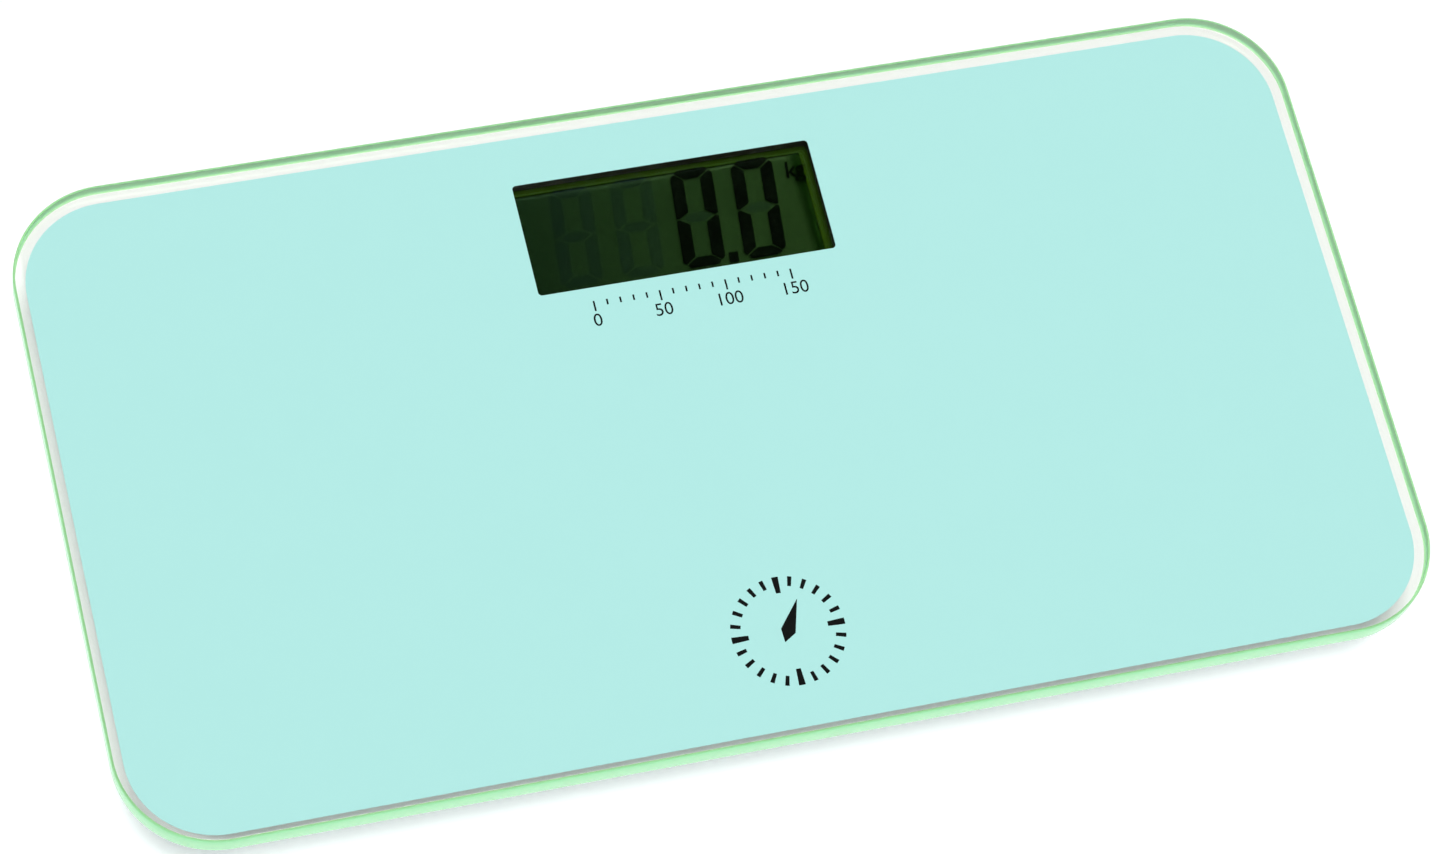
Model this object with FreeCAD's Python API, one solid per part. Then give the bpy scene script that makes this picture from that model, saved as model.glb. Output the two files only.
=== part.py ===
"""Glass-topped digital personal scale, travel size.

Frame: origin on the floor under the middle of the plate, +X to the user's right, +Y away from the
user (the display side), +Z up. Millimetres. One STEP file is written for each physical piece.
"""
import FreeCAD
import Part
import math
import os

# ---------------------------------------------------------------- driving dimensions
# Glass plate
PLATE_WIDTH = 260.0
PLATE_DEPTH = 136.0
PLATE_CORNER = 19.5
PLATE_THICKNESS = 5.0
PLATE_ARRIS = 0.5
OVERALL_HEIGHT = 20.0

# Screen-printed coat on the underside of the glass, and its clear display window
COAT_INSET = 2.5
COAT_THICKNESS = 0.1
COAT_AIR_GAP = 0.05
WINDOW_WIDTH = 60.6
WINDOW_HEIGHT = 24.2
WINDOW_CORNER = 0.8
WINDOW_Y = 43.2

# Plastic base: an upper frame taped to the glass and a bottom cover screwed to it
TAPE_THICKNESS = 0.85
BASE_INSET = 7.0
BASE_CORNER = 12.5
WALL = 2.0
TOP_WALL = 1.6
FLOOR_WALL = 1.8
GROUND_CLEARANCE = 4.0
SEAM_HEIGHT = 4.4
BEVEL_INSET = 5.0
RIB = 1.4
RIB_X = 68.0
RIB_DEPTH = 3.4
CROSS_RIBS_Y = (-30.0, 15.5)

# Load cells and feet, one set near each corner
CELL_X = 98.0
CELL_Y = 36.0
CELL_SIZE = 34.0
CELL_THICKNESS = 2.0
CELL_LIFT = 2.0
FOOT_RADIUS = 13.5
FOOT_HOLE_RADIUS = 15.2
PAD_RADIUS = 11.0
FOOT_TRAVEL = 0.6

# Display stack and circuit board
BOARD_WIDTH = 80.0
BOARD_FRONT = 21.0
BOARD_BACK = 57.5
BOARD_THICKNESS = 1.0
BOARD_LIFT = 2.4
LCD_WIDTH = 66.0
LCD_HEIGHT = 27.0
LCD_GLASS = 1.1
LCD_LEDGE = 1.8
LCD_RECESS = 2.0
REFLECTOR_THICKNESS = 0.25
BEZEL_WALL = 1.2
FIT_GAP = 0.2

# Coin cell, 20 mm across and 3.2 mm thick, its nest and its hinged door
COIN_RADIUS = 10.0
COIN_THICKNESS = 3.2
COIN_Y = -6.0
NEST_GAP = 0.3
DOOR_WIDTH = 27.0
DOOR_THICKNESS = 1.6
DOOR_GAP = 0.3
HINGE_Y = -20.0
HINGE_BARREL = 1.6
HINGE_PIN = 1.0
HINGE_PIN_CLEARANCE = 0.05
DOOR_END = 9.0

# Unit button, under the board
BUTTON_X = 26.0
BUTTON_Y = 27.0
BUTTON_RADIUS = 3.8
BUTTON_TRAVEL = 0.3

# Leads
WIRE_RADIUS = 0.45
WIRE_PITCH = 1.0

# ---------------------------------------------------------------- levels worked out from them
GLASS_BOTTOM = OVERALL_HEIGHT - PLATE_THICKNESS
COAT_TOP = GLASS_BOTTOM - COAT_AIR_GAP
COAT_BOTTOM = COAT_TOP - COAT_THICKNESS
FRAME_TOP = COAT_BOTTOM - TAPE_THICKNESS
FRAME_CEILING = FRAME_TOP - TOP_WALL
FLOOR_TOP = GROUND_CLEARANCE + FLOOR_WALL
SEAM = GROUND_CLEARANCE + SEAM_HEIGHT
BASE_WIDTH = PLATE_WIDTH - 2 * BASE_INSET
BASE_DEPTH = PLATE_DEPTH - 2 * BASE_INSET
BOARD_BOTTOM = FLOOR_TOP + BOARD_LIFT
BOARD_TOP = BOARD_BOTTOM + BOARD_THICKNESS
LCD_TOP = FRAME_TOP - LCD_RECESS
CELL_TOP = FRAME_CEILING - CELL_LIFT
CELL_BOTTOM = CELL_TOP - CELL_THICKNESS
HINGE_Z = GROUND_CLEARANCE + HINGE_BARREL

CORNERS = {
    "front_left": (-1, -1),
    "front_right": (1, -1),
    "back_left": (-1, 1),
    "back_right": (1, 1),
}
CASE_SCREWS = [(-52, 48), (52, 48), (-52, -48), (52, -48), (-112, 0), (112, 0)]
BOARD_SCREWS = [(x, y) for x in (-37.4, 37.4) for y in (24.0, 53.6)]
UP = FreeCAD.Vector(0, 0, 1)


# ---------------------------------------------------------------- shared shapes
def point(x, y, z=0.0):
    return FreeCAD.Vector(x, y, z)


def box(x0, x1, y0, y1, z0, z1):
    return Part.makeBox(x1 - x0, y1 - y0, z1 - z0, point(x0, y0, z0))


def disc(radius, z0, z1, x=0.0, y=0.0):
    return Part.makeCylinder(radius, z1 - z0, point(x, y, z0), UP)


def cone(radius_low, radius_high, z0, z1, x=0.0, y=0.0):
    return Part.makeCone(radius_low, radius_high, z1 - z0, point(x, y, z0), UP)


def rounded_wire(width, depth, corner, z, x=0.0, y=0.0):
    """A rounded rectangle about (x, y), as four lines and four quarter arcs."""
    half_w, half_d = width / 2 - corner, depth / 2 - corner
    edges = []
    for turn, (sx, sy) in enumerate([(1, 1), (-1, 1), (-1, -1), (1, -1)]):
        centre = point(x + sx * half_w, y + sy * half_d, z)
        start, middle, end = (
            centre + point(math.cos(a) * corner, math.sin(a) * corner)
            for a in (math.pi / 2 * turn + k * math.pi / 4 for k in range(3))
        )
        if edges:
            edges.append(Part.LineSegment(last, start).toShape())
        else:
            first = start
        edges.append(Part.Arc(start, middle, end).toShape())
        last = end
    edges.append(Part.LineSegment(last, first).toShape())
    return Part.Wire(edges)


def slab(width, depth, corner, z0, z1, x=0.0, y=0.0):
    """A flat plate with rounded corners."""
    face = Part.Face(rounded_wire(width, depth, corner, z0, x, y))
    return face.extrude(point(0, 0, z1 - z0))


def bevelled_slab(low, high, z0, z1):
    """A block whose sides slope from the low outline to the high one, each (width, depth, corner)."""
    return Part.makeLoft([rounded_wire(*low, z0), rounded_wire(*high, z1)], True, True)


def chamfered(shape, size, chosen):
    """The shape with each edge that chosen() accepts cut back by size."""
    return shape.makeChamfer(size, [e for e in shape.Edges if chosen(e)])


def level_edge(z):
    """Accepts the edges that lie wholly at height z."""
    return lambda e: all(abs(v.Z - z) < 1e-6 for v in e.Vertexes)


def joined(*shapes):
    return shapes[0].fuse(list(shapes[1:])).removeSplitter()


def without(shape, *cutters):
    return shape.cut(list(cutters))


def rib_span(middle):
    """The two sides of a rib about its middle."""
    return middle - RIB / 2, middle + RIB / 2


def write(name, *solids):
    """Writes one node. Several solids make a group of separate pieces."""
    shape = solids[0] if len(solids) == 1 else Part.makeCompound(list(solids))
    shape.exportStep("parts/" + name + ".step")


# ---------------------------------------------------------------- glass and print
def glass_platform():
    plate = slab(PLATE_WIDTH, PLATE_DEPTH, PLATE_CORNER, GLASS_BOTTOM, OVERALL_HEIGHT)
    plate = chamfered(plate, PLATE_ARRIS, level_edge(OVERALL_HEIGHT))
    return chamfered(plate, PLATE_ARRIS, level_edge(GLASS_BOTTOM))


def printed_coat():
    width, depth = PLATE_WIDTH - 2 * COAT_INSET, PLATE_DEPTH - 2 * COAT_INSET
    coat = slab(width, depth, PLATE_CORNER - COAT_INSET, COAT_BOTTOM, COAT_TOP)
    window = slab(WINDOW_WIDTH, WINDOW_HEIGHT, WINDOW_CORNER, COAT_BOTTOM, COAT_TOP, 0, WINDOW_Y)
    return without(coat, window)


def mounting_tape():
    """Foam tape between coat and frame: a strip all round, open at the display, and two cross strips."""
    edge_margin, edge_width, strip_width, strip_x = 1.0, 4.0, 12.0, 64.0
    display_half = LCD_WIDTH / 2 + 4.0
    end_gap = 2.0
    outer = (BASE_WIDTH - 2 * edge_margin, BASE_DEPTH - 2 * edge_margin, BASE_CORNER - edge_margin)
    inner = tuple(size - edge_width * (2 if n < 2 else 1) for n, size in enumerate(outer))
    ring = without(
        slab(*outer, FRAME_TOP, COAT_BOTTOM),
        slab(*inner, FRAME_TOP, COAT_BOTTOM),
        box(-display_half, display_half, 0, BASE_DEPTH, FRAME_TOP, COAT_BOTTOM),
    )
    reach = inner[1] / 2 - end_gap
    strips = [
        box(x - strip_width / 2, x + strip_width / 2, -reach, reach, FRAME_TOP, COAT_BOTTOM)
        for x in (-strip_x, strip_x)
    ]
    return [ring] + strips


# ---------------------------------------------------------------- plastic base
def cell_seat(x, y):
    """Walls round one load cell, open towards the middle for the leads, with a pad over each corner."""
    half, wall, pad = CELL_SIZE / 2 + FIT_GAP, 1.5, 6.0
    low = CELL_BOTTOM - 0.4
    walls = without(
        box(x - half - wall, x + half + wall, y - half - wall, y + half + wall, low, FRAME_CEILING),
        box(x - half, x + half, y - half, y + half, low, FRAME_CEILING),
    )
    inward = -1 if x > 0 else 1
    notch_half, notch_low, past = 3.0, CELL_TOP - 0.8, 1.0
    notch_x = sorted((x + inward * (half - past), x + inward * (half + wall + past)))
    walls = without(walls, box(*notch_x, y - notch_half, y + notch_half, notch_low, FRAME_CEILING))
    pads = []
    for sx in (-1, 1):
        for sy in (-1, 1):
            pad_x = sorted((x + sx * half, x + sx * (half - pad)))
            pad_y = sorted((y + sy * half, y + sy * (half - pad)))
            pads.append(box(*pad_x, *pad_y, CELL_TOP, FRAME_CEILING))
    return [walls] + pads


def base_frame():
    """Upper shell: a flat top that the tape holds to the glass, ribs, load-cell seats and screw bosses."""
    outer = slab(BASE_WIDTH, BASE_DEPTH, BASE_CORNER, SEAM, FRAME_TOP)
    outer = chamfered(outer, 0.6, level_edge(FRAME_TOP))
    inner_w, inner_d = BASE_WIDTH - 2 * WALL, BASE_DEPTH - 2 * WALL
    shell = without(outer, slab(inner_w, inner_d, BASE_CORNER - WALL, SEAM, FRAME_CEILING))

    rib_low, rib_bite = FRAME_CEILING - RIB_DEPTH, 0.5
    reach_x, reach_y = inner_w / 2 + rib_bite, inner_d / 2 + rib_bite
    ribs = [box(*rib_span(s * RIB_X), -reach_y, reach_y, rib_low, FRAME_CEILING) for s in (-1, 1)]
    ribs += [box(-RIB_X, RIB_X, *rib_span(y), rib_low, FRAME_CEILING) for y in CROSS_RIBS_Y]
    ribs += [box(*sorted((s * RIB_X, s * reach_x)), *rib_span(0), rib_low, FRAME_CEILING) for s in (-1, 1)]

    seats = [piece for sx, sy in CORNERS.values() for piece in cell_seat(sx * CELL_X, sy * CELL_Y)]
    case_boss, case_pilot = 3.2, 1.05
    board_boss, board_pilot = 2.4, 0.8
    bosses = [disc(case_boss, FLOOR_TOP, FRAME_CEILING, x, y) for x, y in CASE_SCREWS]
    bosses += [disc(board_boss, BOARD_TOP, FRAME_CEILING, x, y) for x, y in BOARD_SCREWS]
    holes = [disc(case_pilot, FLOOR_TOP, FRAME_CEILING - 0.4, x, y) for x, y in CASE_SCREWS]
    holes += [disc(board_pilot, BOARD_TOP, FRAME_CEILING + 0.4, x, y) for x, y in BOARD_SCREWS]

    bezel_w, bezel_h = bezel_size()
    open_w, open_h = bezel_w / 2 + 0.3, bezel_h / 2 + 0.3
    opening = box(-open_w, open_w, WINDOW_Y - open_h, WINDOW_Y + open_h, FRAME_CEILING - 1, FRAME_TOP)
    # The battery leads pass under the rib in front of the board.
    notch_left, notch_right, notch_front, notch_back = -7.0, 25.0, 14.0, 17.0
    wire_notch = box(notch_left, notch_right, notch_front, notch_back, rib_low, FRAME_CEILING - 0.5)
    return without(joined(shell, *ribs, *seats, *bosses), opening, wire_notch, *holes)


def bottom_cover():
    """Lower shell: bevelled sides, foot and screw holes, coin-cell nest, hinge ears and button hole."""
    low = (BASE_WIDTH - 2 * BEVEL_INSET, BASE_DEPTH - 2 * BEVEL_INSET, BASE_CORNER - BEVEL_INSET + 1)
    high = (BASE_WIDTH, BASE_DEPTH, BASE_CORNER)
    rim, toe = 3.0, 1.0
    body = bevelled_slab(low, high, GROUND_CLEARANCE, SEAM)
    hollow_low = (low[0] - 2 * toe, low[1] - 2 * toe, low[2] - toe)
    hollow_high = (high[0] - 2 * rim, high[1] - 2 * rim, high[2] - rim)
    body = without(body, bevelled_slab(hollow_low, hollow_high, FLOOR_TOP, SEAM))

    lip_gap, lip_width, lip_low, lip_high = 0.2, 0.8, SEAM - 0.5, SEAM + 1.5
    lip_outer = tuple(size - (2 if n < 2 else 1) * (WALL + lip_gap) for n, size in enumerate(high))
    lip_inner = tuple(size - (2 if n < 2 else 1) * lip_width for n, size in enumerate(lip_outer))
    lip = without(slab(*lip_outer, lip_low, lip_high), slab(*lip_inner, lip_low, lip_high))
    # The lip stops short of the frame's ribs, which run into its side walls, and of the board.
    slot_half, slot_top, board_half = 1.2, SEAM + 2, BOARD_WIDTH / 2 + 1
    slots = [(s * RIB_X - slot_half, s * RIB_X + slot_half, -BASE_DEPTH, BASE_DEPTH) for s in (-1, 1)]
    slots.append((-BASE_WIDTH, BASE_WIDTH, -slot_half, slot_half))
    slots.append((-board_half, board_half, 0, BASE_DEPTH))
    body = joined(body, without(lip, *[box(*slot, SEAM, slot_top) for slot in slots]))

    collar = 1.2
    collars = [
        without(disc(FOOT_HOLE_RADIUS + collar, FLOOR_TOP, FLOOR_TOP + collar, sx * CELL_X, sy * CELL_Y),
                disc(FOOT_HOLE_RADIUS, FLOOR_TOP, FLOOR_TOP + collar, sx * CELL_X, sy * CELL_Y))
        for sx, sy in CORNERS.values()
    ]
    floor_rib_top, front_rib_y, front_rib_half, side_rib_x, side_rib_half = FLOOR_TOP + 1.3, -34, 66, 74, 52
    floor_ribs = [box(-front_rib_half, front_rib_half, front_rib_y, front_rib_y + RIB,
                      FLOOR_TOP, floor_rib_top)]
    floor_ribs += [box(*rib_span(s * side_rib_x), -side_rib_half, side_rib_half, FLOOR_TOP, floor_rib_top)
                   for s in (-1, 1)]

    foot_holes = [disc(FOOT_HOLE_RADIUS, 0, SEAM, sx * CELL_X, sy * CELL_Y) for sx, sy in CORNERS.values()]
    screw_holes = [disc(1.5, 0, FLOOR_TOP, x, y) for x, y in CASE_SCREWS]
    screw_holes += [cone(2.9, 1.5, GROUND_CLEARANCE, GROUND_CLEARANCE + 1.4, x, y) for x, y in CASE_SCREWS]
    button_hole = disc(BUTTON_RADIUS + 0.3, 0, FLOOR_TOP, BUTTON_X, BUTTON_Y)
    button_dish = cone(BUTTON_RADIUS + 1.1, BUTTON_RADIUS + 0.3, GROUND_CLEARANCE, GROUND_CLEARANCE + 0.8,
                       BUTTON_X, BUTTON_Y)
    body = without(joined(body, *collars, *floor_ribs, *coin_nest()), *foot_holes, *screw_holes,
                   button_hole, button_dish, *door_cutters())
    return body


def coin_nest():
    """Block that holds the coin cell, and the two ears that carry the door's hinge pins."""
    side = DOOR_WIDTH / 2 + 1.5
    block = box(-side, side, HINGE_Y + HINGE_BARREL + 0.4, DOOR_END + 1.6, FLOOR_TOP - 0.5, nest_roof() + 1.4)
    ears = [
        box(*sorted((s * (DOOR_WIDTH / 2 + DOOR_GAP), s * (DOOR_WIDTH / 2 + 4))),
            HINGE_Y - 2.6, HINGE_Y + 2.4, FLOOR_TOP - 0.5, HINGE_Z + HINGE_BARREL + 1)
        for s in (-1, 1)
    ]
    return [block] + ears


def nest_roof():
    return coin_base() + COIN_THICKNESS + 1.0


def coin_base():
    """Height of the coin cell's lower face, a little above the shut door."""
    return GROUND_CLEARANCE + DOOR_THICKNESS + 0.15


def door_cutters():
    """What is taken out of the cover for the door, the cell, the contacts, the latch and a fingertip."""
    half = DOOR_WIDTH / 2 + DOOR_GAP
    opening = box(-half, half, HINGE_Y - HINGE_BARREL - DOOR_GAP, DOOR_END + 0.4, 0, FLOOR_TOP)
    barrel_room = box(-half, half, HINGE_Y - HINGE_BARREL - DOOR_GAP, HINGE_Y + HINGE_BARREL + 0.4,
                      0, HINGE_Z + HINGE_BARREL + 2)
    coin_bore = disc(COIN_RADIUS + NEST_GAP, 0, nest_roof(), 0, COIN_Y)
    latch_room = box(-4.5, 4.5, 5.0, DOOR_END + 0.4, 0, nest_roof())
    side_slot = box(COIN_RADIUS - 2, COIN_RADIUS + 1.4, COIN_Y - 3.5, COIN_Y + 3.5, 0, nest_roof() + 2)
    lead_slot = box(-3.0, 3.0, COIN_Y - 3.5, COIN_Y + 3.5, nest_roof() - 0.5, nest_roof() + 2)
    scoop_radius, scoop_depth, scoop_y = 9.0, 1.0, DOOR_END + 3.4
    scoop = Part.makeSphere(scoop_radius, point(0, scoop_y, GROUND_CLEARANCE + scoop_depth - scoop_radius))
    pin_bore = Part.makeCylinder(HINGE_PIN + HINGE_PIN_CLEARANCE, DOOR_WIDTH + 6,
                                 point(-DOOR_WIDTH / 2 - 3, HINGE_Y, HINGE_Z), point(1, 0, 0))
    return [opening, barrel_room, coin_bore, latch_room, side_slot, lead_slot, scoop, pin_bore]


# ---------------------------------------------------------------- load cells and feet
def load_cell(x, y):
    """Steel half-bridge cell: an outer frame, and a tongue in it that the foot bears on."""
    plate = slab(CELL_SIZE, CELL_SIZE, 4.0, CELL_BOTTOM, CELL_TOP, x, y)
    inward = -1 if x > 0 else 1
    slot, tongue, reach = 2.2, 7.5, 10.5
    outer = box(x - reach, x + reach, y - tongue - slot, y + tongue + slot, CELL_BOTTOM, CELL_TOP)
    inner = box(*sorted((x - inward * (reach - slot), x + inward * (reach + 1))), y - tongue, y + tongue,
                CELL_BOTTOM, CELL_TOP)
    waist = [disc(1.6, CELL_BOTTOM, CELL_TOP, x + inward * 7.0, y + s * tongue) for s in (-1, 1)]
    return without(plate, outer.cut(inner), *waist, disc(2.5, CELL_BOTTOM, CELL_TOP, x, y))


def strain_gauge(x, y):
    """Dab of sealant over the gauge at the root of the tongue, where the leads are soldered."""
    inward = -1 if x > 0 else 1
    dab = slab(5.0, 7.0, 1.5, CELL_TOP, CELL_TOP + 0.9, x + inward * 10.5, y)
    return chamfered(dab, 0.4, level_edge(CELL_TOP + 0.9))


def foot(x, y):
    """Moulded foot: a disc with a recess for its rubber pad, and a stem that snaps into the tongue's hole."""
    low, high = 1.2, 4.4
    base = disc(FOOT_RADIUS, low, high, x, y)
    base = chamfered(base, 0.7, level_edge(low))
    base = chamfered(base, 0.5, level_edge(high))
    recess = disc(PAD_RADIUS + 0.1, low, low + 0.8, x, y)
    stem = cone(10.0, 4.5, high, CELL_BOTTOM, x, y)
    neck = disc(2.3, CELL_BOTTOM, CELL_TOP + 0.1, x, y)
    snap_head = cone(3.0, 2.0, CELL_TOP + 0.1, CELL_TOP + 0.9, x, y)
    return without(joined(base, stem, neck, snap_head), recess)


def foot_pad(x, y):
    pad = disc(PAD_RADIUS, 0, 2.0, x, y)
    return chamfered(pad, 0.4, level_edge(0))


# ---------------------------------------------------------------- display and electronics
def bezel_size():
    return LCD_WIDTH + 2 * FIT_GAP + 2 * BEZEL_WALL, LCD_HEIGHT + 2 * FIT_GAP + 2 * BEZEL_WALL


def display_gasket():
    width, height = bezel_size()
    return without(
        slab(width - 0.4, height - 0.4, 1.0, FRAME_TOP, COAT_BOTTOM, 0, WINDOW_Y),
        slab(WINDOW_WIDTH + 1.4, WINDOW_HEIGHT + 1.4, 1.0, FRAME_TOP, COAT_BOTTOM, 0, WINDOW_Y),
    )


def bezel_pegs():
    width, height = bezel_size()
    return [(sx * (width / 2 - 0.9), WINDOW_Y + sy * (height / 2 - 3)) for sx in (-1, 1) for sy in (-1, 1)]


def display_bezel():
    """Black frame that clamps the display and its rubber contact strips onto the board."""
    width, height = bezel_size()
    frame = slab(width, height, 1.0, BOARD_TOP, FRAME_TOP, 0, WINDOW_Y)
    cavity = slab(LCD_WIDTH + 2 * FIT_GAP, LCD_HEIGHT + 2 * FIT_GAP, 0.3, BOARD_TOP, LCD_TOP, 0, WINDOW_Y)
    view = slab(WINDOW_WIDTH + 0.6, WINDOW_HEIGHT + 0.6, 0.8, LCD_TOP, FRAME_TOP, 0, WINDOW_Y)
    pegs = [disc(0.7, BOARD_BOTTOM + 0.4, BOARD_TOP + 0.5, x, y) for x, y in bezel_pegs()]
    return joined(without(frame, cavity, view), *pegs)


def lcd_front_glass():
    return slab(LCD_WIDTH, LCD_HEIGHT, 0.3, LCD_TOP - LCD_GLASS, LCD_TOP, 0, WINDOW_Y)


def lcd_rear_glass():
    height = LCD_HEIGHT - 2 * LCD_LEDGE
    return slab(LCD_WIDTH, height, 0.3, LCD_TOP - 2 * LCD_GLASS, LCD_TOP - LCD_GLASS, 0, WINDOW_Y)


def lcd_reflector():
    height = LCD_HEIGHT - 2 * LCD_LEDGE - 0.6
    top = LCD_TOP - 2 * LCD_GLASS
    return slab(LCD_WIDTH - 0.6, height, 0.3, top - REFLECTOR_THICKNESS, top, 0, WINDOW_Y)


def contact_strips():
    """Striped rubber connectors between the glass ledges and the board."""
    width, length = 1.4, LCD_WIDTH - 4
    offset = LCD_HEIGHT / 2 - LCD_LEDGE / 2
    return [
        box(-length / 2, length / 2, y - width / 2, y + width / 2, BOARD_TOP, LCD_TOP - LCD_GLASS)
        for y in (WINDOW_Y - offset, WINDOW_Y + offset)
    ]


def circuit_board():
    middle = (BOARD_FRONT + BOARD_BACK) / 2
    board = slab(BOARD_WIDTH, BOARD_BACK - BOARD_FRONT, 1.0, BOARD_BOTTOM, BOARD_TOP, 0, middle)
    holes = [disc(1.1, BOARD_BOTTOM, BOARD_TOP, x, y) for x, y in BOARD_SCREWS]
    holes += [disc(0.8, BOARD_BOTTOM, BOARD_TOP, x, y) for x, y in bezel_pegs()]
    return without(board, *holes)


def controller_blob():
    """Dome of black resin over the bare chip, on the board's underside."""
    radius, height = 6.0, 1.4
    sphere_radius = (radius ** 2 + height ** 2) / (2 * height)
    centre = BOARD_BOTTOM + sphere_radius - height
    dome = Part.makeSphere(sphere_radius, point(-14, 40, centre))
    return dome.common(disc(radius + 1, BOARD_BOTTOM - height - 1, BOARD_BOTTOM, -14, 40))


def board_components():
    """Chip resistors and capacitors in rows, and one tall crystal, on the board's underside."""
    low = BOARD_BOTTOM
    chips = [box(x, x + 1.6, y, y + 0.8, low - 0.6, low) for x in (2, 6, 10, 14) for y in (34, 38, 42, 46)]
    crystal = slab(8.0, 3.4, 1.6, low - 1.6, low, -14, 29)
    capacitor = box(18, 21.5, 48, 50.8, low - 1.6, low)
    return chips + [crystal, capacitor]


def screw(x, y, head_low, head_high, head_radius, shank_radius, tip, countersunk):
    """A self-tapping screw that points up, with a cross recess in its head."""
    if countersunk:
        head = cone(head_radius, shank_radius, head_low, head_high, x, y)
    else:
        head = chamfered(disc(head_radius, head_low, head_high, x, y), 0.4, level_edge(head_low))
    taper = 1.0
    shank = disc(shank_radius, head_high, tip - taper, x, y)
    point_end = cone(shank_radius, 0.3, tip - taper, tip, x, y)
    arm, depth = head_radius * 0.55, (head_high - head_low) * 0.6
    cross = [
        box(x - arm, x + arm, y - 0.3, y + 0.3, head_low, head_low + depth),
        box(x - 0.3, x + 0.3, y - arm, y + arm, head_low, head_low + depth),
    ]
    return without(joined(head, shank, point_end), *cross)


def case_screws():
    return [screw(x, y, GROUND_CLEARANCE + 0.1, GROUND_CLEARANCE + 1.4, 2.7, 1.0, FRAME_CEILING - 1.0, True)
            for x, y in CASE_SCREWS]


def board_screws():
    return [screw(x, y, BOARD_BOTTOM - 1.2, BOARD_BOTTOM, 1.9, 0.75, FRAME_CEILING, False)
            for x, y in BOARD_SCREWS]


# ---------------------------------------------------------------- unit button
def switch_levels():
    """Button top, and the switch body's lower face above it."""
    button_top = FLOOR_TOP + 0.1 + 0.8
    return button_top, BOARD_BOTTOM - 1.0


def tact_switch():
    """Metal-cased switch under the board, with a well that its plunger moves in."""
    body_low = switch_levels()[1]
    body = box(BUTTON_X - 2.6, BUTTON_X + 2.6, BUTTON_Y - 2.6, BUTTON_Y + 2.6, body_low, BOARD_BOTTOM)
    return without(body, disc(1.6, body_low, body_low + 0.8, BUTTON_X, BUTTON_Y))


def switch_plunger():
    button_top, body_low = switch_levels()
    return disc(1.5, button_top, body_low + 0.8 - BUTTON_TRAVEL - 0.1, BUTTON_X, BUTTON_Y)


def unit_button():
    """Key that changes kilograms to other units, pressed through the cover from below."""
    face, flange_low = GROUND_CLEARANCE + 0.3, FLOOR_TOP + 0.1
    cap = chamfered(disc(BUTTON_RADIUS, face, flange_low, BUTTON_X, BUTTON_Y), 0.4, level_edge(face))
    flange = disc(BUTTON_RADIUS + 1.4, flange_low, switch_levels()[0], BUTTON_X, BUTTON_Y)
    return joined(cap, flange)


# ---------------------------------------------------------------- battery, contacts and door
def battery():
    """Coin cell: the wide can below, and its narrower insulated cap above."""
    low = coin_base()
    can = disc(COIN_RADIUS, low, low + COIN_THICKNESS - 0.4, 0, COIN_Y)
    can = chamfered(can, 0.3, level_edge(low))
    cap = disc(COIN_RADIUS - 1.2, low + COIN_THICKNESS - 0.4, low + COIN_THICKNESS, 0, COIN_Y)
    return joined(can, cap)


def battery_contact_negative():
    """Spring strip under the nest's roof, dimpled to touch the cell's cap, with a tail through the roof."""
    cap_top, sheet = coin_base() + COIN_THICKNESS, 0.3
    strip_low = nest_roof() - sheet
    strip = box(-2.4, 2.4, COIN_Y - 3.2, COIN_Y + 3.2, strip_low, nest_roof())
    dimple = cone(0.8, 1.6, cap_top, strip_low, 0, COIN_Y)
    tail = box(-1.2, 1.2, COIN_Y + 2.9, COIN_Y + 3.2, nest_roof(), nest_roof() + 1.2)
    return joined(strip, dimple, tail)


def battery_contact_positive():
    """Spring strip beside the cell that bears on its rim."""
    low = coin_base() + 0.4
    sheet = 0.3
    near, half_width = COIN_RADIUS + 0.6, 2.5
    strip = box(near, near + sheet, COIN_Y - half_width, COIN_Y + half_width, low, nest_roof() + 1.8)
    bump = cone(1.2, 0.6, 0, 0.6)
    bump.rotate(point(0, 0), point(0, 1, 0), -90)
    bump.translate(point(near, COIN_Y, low + 1.4))
    return joined(strip, bump)


def battery_door():
    """Door with a hinge barrel and pins along its front edge, and a folded spring latch at the back."""
    half, low, high = DOOR_WIDTH / 2, GROUND_CLEARANCE, GROUND_CLEARANCE + DOOR_THICKNESS
    plate = box(-half, half, HINGE_Y, DOOR_END, low, high)
    along = point(1, 0, 0)
    barrel = Part.makeCylinder(HINGE_BARREL, DOOR_WIDTH, point(-half, HINGE_Y, HINGE_Z), along)
    pin_reach = half + 2.5
    pins = Part.makeCylinder(HINGE_PIN, 2 * pin_reach, point(-pin_reach, HINGE_Y, HINGE_Z), along)

    latch_half, leaf, bend_top, root_y = 3.5, 1.0, high + 2.8, 5.6
    side = latch_half + 0.4
    gap = box(-side, side, root_y + leaf, DOOR_END, low, high)
    root = box(-latch_half, latch_half, root_y, root_y + leaf, high, bend_top)
    bridge = box(-latch_half, latch_half, root_y, DOOR_END, bend_top, bend_top + leaf)
    on_top = level_edge(bend_top + leaf)
    bridge = chamfered(bridge, 0.6, lambda e: on_top(e) and e.Length > 2 * latch_half - 0.1)
    leg = box(-latch_half, latch_half, DOOR_END - leaf, DOOR_END, low, bend_top)
    nib = box(-latch_half, latch_half, DOOR_END, DOOR_END + 0.3, FLOOR_TOP + 0.1, FLOOR_TOP + 0.7)

    grip_half, grip_width, grip_depth = 8, 0.8, 0.4
    grips = [box(-grip_half, grip_half, y, y + grip_width, low, low + grip_depth)
             for y in (-12, -9.5, -7, -4.5, -2)]
    return without(joined(without(plate, gap), barrel, pins, root, bridge, leg, nib), *grips)


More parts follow.
